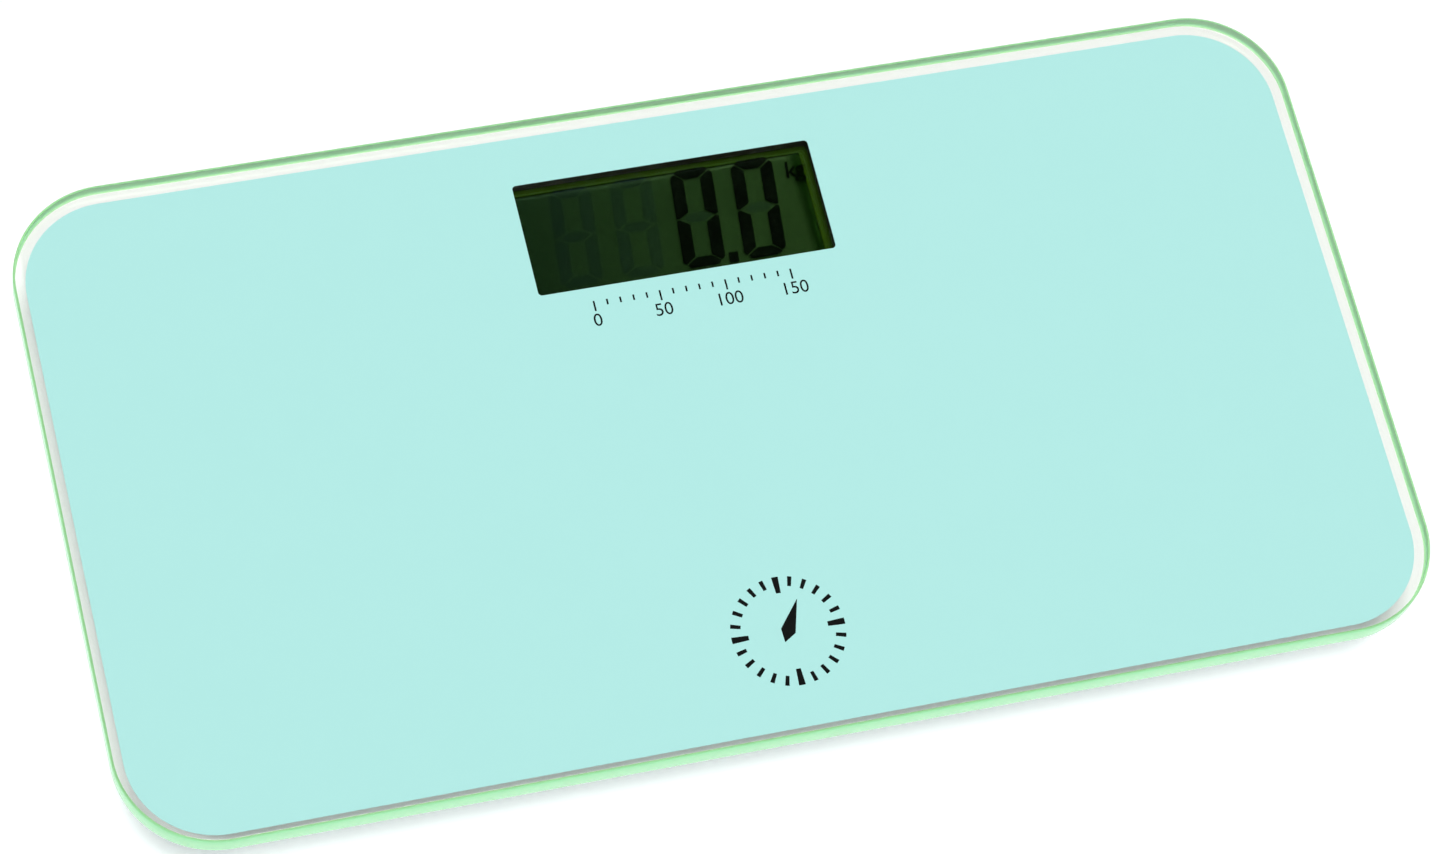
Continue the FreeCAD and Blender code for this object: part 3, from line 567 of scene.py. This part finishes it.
CORNERS = ("front_left", "front_right", "back_left", "back_right")
cell_steel = plated_metal("zinc_on_steel", (0.50, 0.50, 0.47), (0.62, 0.62, 0.60))
for corner in CORNERS:
    cell_low, cell_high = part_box("load_cell_" + corner)
    middle = (cell_low + cell_high) / 2
    inward = -1 if middle.x > 0 else 1
    clamped = cut_sheet("cell_frame_" + corner,
                        [rounded_outline(cell_low, cell_high, CELL_CORNER, CELL_STEPS),
                         rounded_outline(middle - CELL_OPENING, middle + CELL_OPENING, OPENING_CORNER, 1)],
                        cell_low.z, cell_high.z, [cell_steel])
    outline = [(middle.x + inward * along, middle.y + across) for along, across in tongue_outline()]
    hole = [around(middle, STEM_HOLE, 360 * step / (2 * ARC_STEPS)) for step in range(2 * ARC_STEPS)]
    tongue = cut_sheet("cell_tongue_" + corner, [outline, hole], cell_low.z, cell_high.z, [cell_steel])
    crosscut(tongue, middle, inward)
    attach(clamped, "scale")
    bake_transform(tongue)
    for piece in (clamped, tongue):
        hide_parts("load_cell_" + corner)
dress(moulded_plastic("silicone_sealant", (0.70, 0.70, 0.67), (0.80, 0.80, 0.77), (0.82, 0.82, 0.8),
                      pit=0.0012, matt=(0.3, 0.42), relief=0.00006), "strain_gauges")

# ---------------------------------------------------------------------------------------------
# Feet and pads
# A light grey ABS disc snaps into each load cell and carries a soft rubber pad with moulded
# rings that grip the floor.
# ---------------------------------------------------------------------------------------------
PAD_RINGS = 9


def pad_rubber():
    material = new_material("pad_rubber", {"Specular IOR Level": 0.3})
    tree = material.node_tree
    spread = add_node(tree, "TexCoord").outputs["Generated"]
    centred = add_node(tree, "VectorMath", {0: spread, 1: (0.5, 0.5, 0.0)}, operation="SUBTRACT")
    flat = add_node(tree, "VectorMath", {0: centred.outputs[0], 1: (1.0, 1.0, 0.0)}, operation="MULTIPLY")
    radius = add_node(tree, "VectorMath", {0: flat.outputs[0]}, operation="LENGTH")
    turns = add_node(tree, "Math", {0: radius.outputs["Value"], 1: 2 * math.pi * 2 * PAD_RINGS},
                     operation="MULTIPLY")
    rings = add_node(tree, "Math", {0: turns.outputs[0]}, operation="SINE")
    grain = use_group(material, MOULDED_GRAIN, Pit=0.0005, Ripple=0.004)
    set_colour(material, grain.outputs["Shade"], (0.12, 0.125, 0.125), (0.20, 0.205, 0.20))
    set_roughness(material, grain.outputs["Height"], 0.6, 0.85)
    set_relief(material, rings.outputs[0], 0.00012)
    return material


foot_abs = moulded_plastic("foot_abs", (0.54, 0.56, 0.55), (0.60, 0.62, 0.61), (0.7, 0.71, 0.7))
dress(foot_abs, *["foot_" + corner for corner in CORNERS])
dress(pad_rubber(), *["foot_pad_" + corner for corner in CORNERS])

# ---------------------------------------------------------------------------------------------
# Leads
# Stranded copper in PVC, three from each load cell to the board and one from each contact of the
# coin cell. The insulation is slightly uneven.
# ---------------------------------------------------------------------------------------------


def wire_jacket(name, dark, light):
    material = new_material(name, {"IOR": 1.52, "Specular IOR Level": 0.5})
    grain = use_group(material, MOULDED_GRAIN, Pit=0.0006, Ripple=0.006)
    set_colour(material, grain.outputs["Shade"], dark, light)
    set_roughness(material, grain.outputs["Height"], 0.28, 0.44)
    set_relief(material, grain.outputs["Height"], 0.000015)
    return material


dress(wire_jacket("white_jacket", (0.68, 0.68, 0.65), (0.78, 0.78, 0.76)),
      *["cell_leads_" + corner for corner in CORNERS])
dress(wire_jacket("red_jacket", (0.42, 0.022, 0.018), (0.56, 0.035, 0.028)), "battery_leads")

# ---------------------------------------------------------------------------------------------
# Display
# A twisted-nematic LCD: two sheets of glass with the segments between them, a polarising film in
# front that stops short of the edges, and a reflector behind. A black bezel clamps it.
# ---------------------------------------------------------------------------------------------
DIGIT_HEIGHT = 0.0214
DIGIT_WIDTH = 0.0086
DIGIT_PITCH = 0.0125
DIGIT_SLANT = 0.092
DIGIT_BASE = 0.0334
FIRST_ZERO = 0.0002
UPRIGHT = 0.0026
CROSSBAR = 0.0021
SEGMENT_GAP = 0.0003
CORNER_CUT = 0.0015
GLASS_JOINT = 0.00002
SEGMENT_LAYER = 0.000008
UPRIGHT_TIP = 0.25
CROSSBAR_TIP = 0.35
FILM_LEFT = 0.0305
FILM_RIGHT = 0.0288
FILM_FRONT = 0.0123
FILM_BACK = 0.0110
FILM_THICKNESS = 0.00006
FILM_ARRIS = 0.00001
SEAL_SHOWN = 0.0002
SEAL_UNDER_FILM = 0.0006
SEAL_MARGIN = Vector((0.0002, 0.0002, 0))
SEAL_STEPS = 3
CUT_CORNER = 0.0003
CUT_ARRIS = 0.0001
POINT_GAP = 0.0007
POINT_WIDTH = 0.0019
POINT_LEAN = 0.0002
POINT_DROP = 0.0002
POINT_RISE = 0.0020
UNIT_SIZE = 0.0052
UNIT_SWELL = 0.00003
UNIT_SPACING = 0.85
UNIT_PLACE = (0.0250, 0.0494)

front_low, front_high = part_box("lcd_front_glass")
rear_low, rear_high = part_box("lcd_rear_glass")
segments_low = rear_high.z - SEGMENT_LAYER / 2
segments_high = rear_high.z + SEGMENT_LAYER / 2


def segment_outlines(lit):
    """Outlines of the lit segments of one digit, from its lower left corner. a is the top bar,
    b to f go round clockwise, and g is the middle bar."""
    wide, tall, half = DIGIT_WIDTH, DIGIT_HEIGHT, DIGIT_HEIGHT / 2
    bar, post, gap, cut = CROSSBAR, UPRIGHT, SEGMENT_GAP, CORNER_CUT
    split = gap / 3
    upper_left = [(0, tall - cut), (cut / 2 - split, tall - cut / 2 - split), (post, tall - bar - gap),
                  (post, half + bar / 2 + gap), (post * UPRIGHT_TIP, half + gap / 2), (0, half + gap)]
    top = [(cut, tall), (wide - cut, tall), (wide - cut / 2 - split, tall - cut / 2 + split),
           (wide - post - gap, tall - bar), (post + gap, tall - bar),
           (cut / 2 + split, tall - cut / 2 + split)]
    middle = [(post * CROSSBAR_TIP + gap, half), (post + gap, half + bar / 2),
              (wide - post - gap, half + bar / 2), (wide - post * CROSSBAR_TIP - gap, half),
              (wide - post - gap, half - bar / 2), (post + gap, half - bar / 2)]
    parts = {
        "a": top, "g": middle, "f": upper_left,
        "d": [(x, tall - y) for x, y in top],
        "b": [(wide - x, y) for x, y in upper_left],
        "e": [(x, tall - y) for x, y in upper_left],
        "c": [(wide - x, tall - y) for x, y in upper_left],
    }
    return [parts[letter] for letter in lit]


def digit(name, left, lit, materials):
    """The lit segments of one digit, leaning to the right."""
    outlines = [[(left + x + DIGIT_SLANT * y, DIGIT_BASE + y) for x, y in outline]
                for outline in segment_outlines(lit)]
    return cut_sheet(name, outlines, segments_low, segments_high, materials)


def display_glass():
    material = new_material("display_glass", {"Base Color": (0.97, 1, 0.97, 1), "Transmission Weight": 1.0,
                                              "IOR": GLASS_IOR})
    haze = use_group(material, WIPED_HAZE, Size=0.01, Contrast=1.0)
    set_roughness(material, haze.outputs["Haze"], 0.0, 0.01)
    set_relief(material, haze.outputs["Haze"], 0.000001)
    let_lamps_through(material, (0.95, 0.98, 0.95))
    return material


def tinted_film():
    """Stretched polarising film, dyed with iodine, with a painted shadow that darkens it along its right
    edge, in place of the shade the display well's right wall casts on it.
    """
    material = new_material("polarising_film", {"Transmission Weight": 1.0, "IOR": 1.1})
    tree = material.node_tree
    haze = use_group(material, WIPED_HAZE, Size=0.02, Contrast=1.0)
    clear = set_colour(material, haze.outputs["Haze"], (0.37, 0.45, 0.36), (0.40, 0.48, 0.39))
    across = add_node(tree, "SeparateXYZ", {0: add_node(tree, "TexCoord").outputs["Generated"]})
    # Painted shadow: a mask that rises over the film's right edge, where the well's right wall shades the
    # display.
    edge = add_node(tree, "MapRange", {"Value": across.outputs[0], "From Min": 0.945, "From Max": 0.985},
                    interpolation_type="SMOOTHSTEP")
    # The dark green is the painted shadow's colour, mixed over the film's own tint.
    tint_and_wall_shadow = add_node(tree, "Mix", {0: edge.outputs[0], 6: clear, 7: (0.06, 0.14, 0.04, 1)},
                       data_type="RGBA")
    tree.links.new(tint_and_wall_shadow.outputs[2], surface_of(material).inputs["Base Color"])
    set_roughness(material, haze.outputs["Haze"], 0.0, 0.02)
    let_lamps_through(material, (0.40, 0.46, 0.38))
    return material


def reflector_foil():
    """Satin foil, painted lighter to the right and darker to the left: painted light and shade across the
    display.
    """
    material = new_material("reflector_foil", {"Specular IOR Level": 0.3})
    tree = material.node_tree
    place = add_node(tree, "SeparateXYZ", {0: add_node(tree, "TexCoord").outputs["Generated"]})
    grain = use_group(material, MOULDED_GRAIN, Pit=0.0004, Ripple=0.008)
    drift = add_node(tree, "Math", {0: grain.outputs["Shade"], 1: 0.12, 2: -0.06}, operation="MULTIPLY_ADD")
    # Painted light and shade: the colour ramps with X, so the foil is lighter to the right and darker to the
    # left.
    level = add_node(tree, "Math", {0: place.outputs[0], 1: drift.outputs[0]}, operation="ADD",
                     use_clamp=True)
    set_colour(material, level.outputs[0], (0.15, 0.24, 0.17), (0.52, 0.68, 0.34))
    set_roughness(material, grain.outputs["Height"], 0.5, 0.7)
    set_relief(material, grain.outputs["Height"], 0.000003)
    return material


def liquid_crystal(name, tint, alpha):
    material = new_material(name, {"Alpha": alpha, "Specular IOR Level": 0.2})
    haze = use_group(material, WIPED_HAZE, Size=0.003, Contrast=1.0)
    set_colour(material, haze.outputs["Haze"], tint, tuple(1.25 * part for part in tint))
    set_roughness(material, haze.outputs["Haze"], 0.5, 0.6)
    return material


def seal_epoxy():
    """The yellowish bead of epoxy that closes the cell round its edge."""
    material = new_material("seal_epoxy", {"Specular IOR Level": 0.0})
    haze = use_group(material, WIPED_HAZE, Size=0.002, Contrast=1.5)
    set_colour(material, haze.outputs["Haze"], (0.030, 0.070, 0.004), (0.040, 0.086, 0.005))
    set_roughness(material, haze.outputs["Haze"], 0.4, 0.6)
    set_relief(material, haze.outputs["Haze"], 0.00001)
    return material


glass_of_display = display_glass()
joint = Vector((0, 0, GLASS_JOINT))
front_glass = rounded_sheet("display_front_glass", front_low + joint, front_high,
                            CUT_CORNER, CUT_ARRIS, [glass_of_display])
rear_glass = rounded_sheet("display_rear_glass", rear_low + joint, rear_high - joint,
                           CUT_CORNER, CUT_ARRIS, [glass_of_display])
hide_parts("lcd_front_glass")
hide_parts("lcd_rear_glass")

film_low = Vector((window_middle.x - FILM_LEFT, window_middle.y - FILM_FRONT, front_high.z + GLASS_JOINT))
film_high = Vector((window_middle.x + FILM_RIGHT, window_middle.y + FILM_BACK,
                    front_high.z + FILM_THICKNESS))
polariser = rounded_sheet("display_polarising_film", film_low, film_high, CUT_CORNER, FILM_ARRIS,
                          [tinted_film()])

seal_low = Vector((film_low.x - SEAL_UNDER_FILM, film_low.y - SEAL_UNDER_FILM, 0))
seal_high = Vector((film_high.x + SEAL_SHOWN, film_high.y + SEAL_SHOWN, 0))
seal_inner = rounded_outline(seal_low, seal_high, CUT_CORNER, SEAL_STEPS)
seal_outer = rounded_outline(front_low + SEAL_MARGIN, front_high - SEAL_MARGIN, CUT_CORNER, SEAL_STEPS)
edge_seal = cut_sheet("display_edge_seal", [seal_outer, seal_inner], segments_low, segments_high,
                      [seal_epoxy()])

dark_crystal = liquid_crystal("dark_crystal", (0.004, 0.006, 0.004), 0.985)
ghost_crystal = liquid_crystal("resting_crystal", (0.06, 0.10, 0.50), 0.08)
display_pieces = [front_glass, rear_glass, polariser, edge_seal]
for number, lit in enumerate(("abcdefg", "abcdefg", "abcdef", "abcdef")):
    left = FIRST_ZERO + (number - 2) * DIGIT_PITCH
    crystal = ghost_crystal if number < 2 else dark_crystal
    display_pieces.append(digit("digit_%d" % (number + 1), left, lit, [crystal]))
for number in (3, 4):
    left = FIRST_ZERO + (number - 3) * DIGIT_PITCH
    display_pieces.append(digit("resting_bar_%d" % number, left, "g", [ghost_crystal]))

point_left = FIRST_ZERO + DIGIT_WIDTH + POINT_GAP
point_low = DIGIT_BASE - POINT_DROP
point_high = DIGIT_BASE + POINT_RISE
point_outline = [(point_left, point_low), (point_left + POINT_WIDTH, point_low),
                 (point_left + POINT_WIDTH + POINT_LEAN, point_high), (point_left + POINT_LEAN, point_high)]
display_pieces.append(cut_sheet("decimal_point", [point_outline], segments_low, segments_high,
                                [dark_crystal]))
unit = bpy.data.curves.new("unit_mark", "FONT")
unit.body = "kg"
unit.size = UNIT_SIZE
unit.offset = UNIT_SWELL
unit.space_character = UNIT_SPACING
unit.extrude = SEGMENT_LAYER / 2
unit.shear = DIGIT_SLANT
display_pieces.append(flat_mesh("unit_mark", unit, rear_high.z, [dark_crystal], UNIT_PLACE))
for piece in display_pieces:
    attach(piece, "scale")

dress(reflector_foil(), "lcd_reflector")
dress(moulded_plastic("black_abs", (0.012, 0.012, 0.005), (0.020, 0.019, 0.008), (0.03, 0.03, 0.02)),
      "display_bezel", "switch_plunger")


def zebra_rubber():
    """Thin layers of carbon-filled and plain silicone, stacked along the strip."""
    material = new_material("striped_rubber", {"Specular IOR Level": 0.35})
    tree = material.node_tree
    place = add_node(tree, "TexCoord").outputs["Object"]
    stripes = add_node(tree, "TexWave", {"Vector": place, "Scale": 1600.0, "Distortion": 0.0})
    set_colour(material, stripes.outputs["Fac"], (0.03, 0.03, 0.03), (0.66, 0.42, 0.42))
    set_roughness(material, stripes.outputs["Fac"], 0.5, 0.65)
    set_relief(material, stripes.outputs["Fac"], 0.000006)
    return material


dress(zebra_rubber(), "contact_strips")

# ---------------------------------------------------------------------------------------------
# Circuit board
# Glass-epoxy laminate under green solder mask, with the controller bonded bare to it under a dome
# of black resin, eighteen small parts and a tact switch for the unit button.
# ---------------------------------------------------------------------------------------------


def solder_mask():
    """Green mask, lighter where copper lies under it."""
    material = new_material("solder_mask", {"Coat Weight": 0.3, "Coat Roughness": 0.2})
    tree = material.node_tree
    place = add_node(tree, "TexCoord").outputs["Object"]
    tracks = add_node(tree, "TexBrick",
                      {"Vector": place, "Scale": 260.0, "Mortar Size": 0.03, "Color1": (0, 0, 0, 1),
                       "Color2": (1, 1, 1, 1), "Mortar": (0, 0, 0, 1)})
    level = add_node(tree, "RGBToBW", {0: tracks.outputs["Color"]})
    set_colour(material, level.outputs[0], (0.012, 0.10, 0.035), (0.025, 0.17, 0.06))
    set_roughness(material, level.outputs[0], 0.4, 0.3)
    set_relief(material, level.outputs[0], 0.00002)
    return material


def dome_resin():
    material = new_material("dome_resin", {"Specular IOR Level": 0.5})
    haze = use_group(material, WIPED_HAZE, Size=0.003, Contrast=1.3)
    set_colour(material, haze.outputs["Haze"], (0.008, 0.008, 0.008), (0.014, 0.014, 0.014))
    set_roughness(material, haze.outputs["Haze"], 0.12, 0.25)
    set_relief(material, haze.outputs["Haze"], 0.00005)
    return material


dress(solder_mask(), "circuit_board")
dress(dome_resin(), "controller_blob")
dress(moulded_plastic("component_body", (0.05, 0.04, 0.03), (0.30, 0.22, 0.14), (0.34, 0.27, 0.2)),
      "board_components")
dress(plated_metal("switch_case", (0.50, 0.50, 0.48), (0.64, 0.64, 0.62)), "tact_switch")

# ---------------------------------------------------------------------------------------------
# Unit button
# A grey ABS key in the bottom cover, polished a little by fingertips, that presses the switch
# through a plunger.
# ---------------------------------------------------------------------------------------------
dress(moulded_plastic("key_plastic", (0.26, 0.28, 0.28), (0.32, 0.34, 0.34), (0.42, 0.43, 0.43),
                      pit=0.0004, matt=(0.34, 0.46)), "unit_button")

# ---------------------------------------------------------------------------------------------
# Coin cell and contacts
# A stainless lithium coin cell in its nest, with a nickel-plated spring strip above its cap and
# another against its rim.
# ---------------------------------------------------------------------------------------------
dress(plated_metal("cell_can", (0.60, 0.60, 0.58), (0.72, 0.72, 0.70), smooth=0.2, rough=0.32), "battery")
dress(plated_metal("nickel_plate", (0.58, 0.55, 0.48), (0.70, 0.67, 0.60), smooth=0.16, rough=0.3),
      "battery_contact_negative", "battery_contact_positive")

# ---------------------------------------------------------------------------------------------
# Screws
# Cross-recessed, cold-formed steel with clear zinc: six countersunk in the case, and four with
# chamfered round heads in the board.
# ---------------------------------------------------------------------------------------------
dress(plated_metal("clear_zinc", (0.48, 0.50, 0.53), (0.62, 0.63, 0.65), smooth=0.2, rough=0.38,
                   fineness=3000.0), "case_screws", "board_screws")

# ---------------------------------------------------------------------------------------------
# Studio
# A white table, a pale surround that is black overhead so that the glass mirrors nothing bright, a
# soft lamp straight above, and a larger, weaker one from the right.
# ---------------------------------------------------------------------------------------------
FLOOR_HALF = 6.0
FLOOR_GLOW = 0.12
# Painted light: the floor's extra glow past the plate's front and left edges, which washes out the plate's
# shadow there.
SHADOW_WASH_GLOW = 0.36
FAR_GLOW = 1.0
FAR_START = 0.2
FAR_END = 1.2
GLOW_FADE = 0.0006
MASK_HALF = Vector((0.1260, 0.0616, 0))
SURROUND_TONE = (0.95, 0.95, 0.95, 1)
PALE_BELOW = 0.12
BLACK_ABOVE = 0.55
LIGHT_BOUNCES = 16
SHEETS_SEEN_THROUGH = 24
LENS = 119.27
SENSOR_WIDTH = 36.0
CAMERA_PLACE = Vector((-0.2031, -0.3399, 0.8567))
CAMERA_AZIMUTH = math.radians(-30.877)
CAMERA_ELEVATION = math.radians(64.915)
CAMERA_ROLL = math.radians(18.7315)


def studio_white():
    """White floor with a painted glow: weak and even near the plate, stronger past its front and left edges,
    where it washes out the plate's shadow, and strongest far away.
    """
    material = new_material("studio_white", {"Specular IOR Level": 0.1, "Emission Strength": 1.0})
    tree = material.node_tree
    haze = use_group(material, WIPED_HAZE, Size=0.3, Contrast=1.0)
    set_colour(material, haze.outputs["Haze"], (0.90, 0.90, 0.90), (0.91, 0.91, 0.91))
    set_roughness(material, haze.outputs["Haze"], 0.8, 0.9)
    place = add_node(tree, "TexCoord").outputs["Object"]
    straight = MASK_HALF - Vector((CORNER_RADIUS, CORNER_RADIUS, 0))
    past = add_node(tree, "VectorMath", {0: place, 1: (-1, -1, 0), 2: -straight}, operation="MULTIPLY_ADD")
    beyond = add_node(tree, "VectorMath", {0: past.outputs[0], 1: (0, 0, 0)}, operation="MAXIMUM")
    reach = add_node(tree, "VectorMath", {0: beyond.outputs[0]}, operation="LENGTH")
    # Painted light: emission that rises past the front and left edges of the mask, over the plate's shadow.
    glow = add_node(tree, "MapRange", {"Value": reach.outputs["Value"], "From Min": CORNER_RADIUS - GLOW_FADE,
                                       "From Max": CORNER_RADIUS + GLOW_FADE, "To Min": FLOOR_GLOW,
                                       "To Max": SHADOW_WASH_GLOW},
                    interpolation_type="SMOOTHSTEP")
    away = add_node(tree, "VectorMath", {0: place}, operation="LENGTH")
    far = add_node(tree, "MapRange", {"Value": away.outputs["Value"], "From Min": FAR_START,
                                      "From Max": FAR_END, "To Max": FAR_GLOW},
                   interpolation_type="SMOOTHSTEP")
    light = add_node(tree, "Math", {0: glow.outputs[0], 1: far.outputs[0]}, operation="MAXIMUM")
    tree.links.new(light.outputs[0], surface_of(material).inputs["Emission Color"])
    return material


bpy.ops.mesh.primitive_grid_add(x_subdivisions=4, y_subdivisions=4, size=2 * FLOOR_HALF,
                                location=(0, 0, cad_box[0].z))
floor = bpy.context.object
floor.name = "studio_floor"
floor.data.materials.append(studio_white())

surround = bpy.data.worlds.new("surround")
bpy.context.scene.world = surround
surround.use_nodes = True
sky = surround.node_tree
heading = add_node(sky, "SeparateXYZ", {0: add_node(sky, "TexCoord").outputs["Generated"]})
overhead = add_node(sky, "ValToRGB", {0: heading.outputs[2]})
overhead.color_ramp.elements[0].position = PALE_BELOW
overhead.color_ramp.elements[0].color = SURROUND_TONE
overhead.color_ramp.elements[1].position = BLACK_ABOVE
overhead.color_ramp.elements[1].color = (0, 0, 0, 1)
sky.links.new(overhead.outputs[0], sky.nodes["Background"].inputs["Color"])
sky.nodes["Background"].inputs["Strength"].default_value = 1.0


def soft_lamp(name, place, size, power):
    lamp = bpy.data.lights.new(name, "AREA")
    lamp.shape = "DISK"
    lamp.size = size
    lamp.energy = power
    holder = bpy.data.objects.new(name, lamp)
    holder.location = place
    holder.rotation_euler = (-Vector(place)).to_track_quat("-Z", "Y").to_euler()
    bpy.context.scene.collection.objects.link(holder)


soft_lamp("top_lamp", (0.0, 0.0, 3.0), 1.3, 79)
soft_lamp("side_lamp", (4.8, 1.6, 3.0), 2.4, 30)

back = Vector((math.sin(CAMERA_AZIMUTH) * math.cos(CAMERA_ELEVATION),
               -math.cos(CAMERA_AZIMUTH) * math.cos(CAMERA_ELEVATION), math.sin(CAMERA_ELEVATION)))
level_right = (-back).cross(Vector((0, 0, 1))).normalized()
level_up = level_right.cross(-back)
right = math.cos(CAMERA_ROLL) * level_right + math.sin(CAMERA_ROLL) * level_up
up = math.cos(CAMERA_ROLL) * level_up - math.sin(CAMERA_ROLL) * level_right
lens = bpy.data.cameras.new("camera")
lens.lens = LENS
lens.sensor_width = SENSOR_WIDTH
lens.clip_start = 0.01
camera = bpy.data.objects.new("camera", lens)
camera.matrix_world = [(right.x, right.y, right.z, 0), (up.x, up.y, up.z, 0), (back.x, back.y, back.z, 0),
                       (*CAMERA_PLACE, 1)]
bpy.context.scene.collection.objects.link(camera)
bpy.context.scene.camera = camera
bpy.context.scene.view_settings.view_transform = "Standard"
bpy.context.scene.cycles.max_bounces = LIGHT_BOUNCES
bpy.context.scene.cycles.transmission_bounces = LIGHT_BOUNCES
bpy.context.scene.cycles.transparent_max_bounces = SHEETS_SEEN_THROUGH
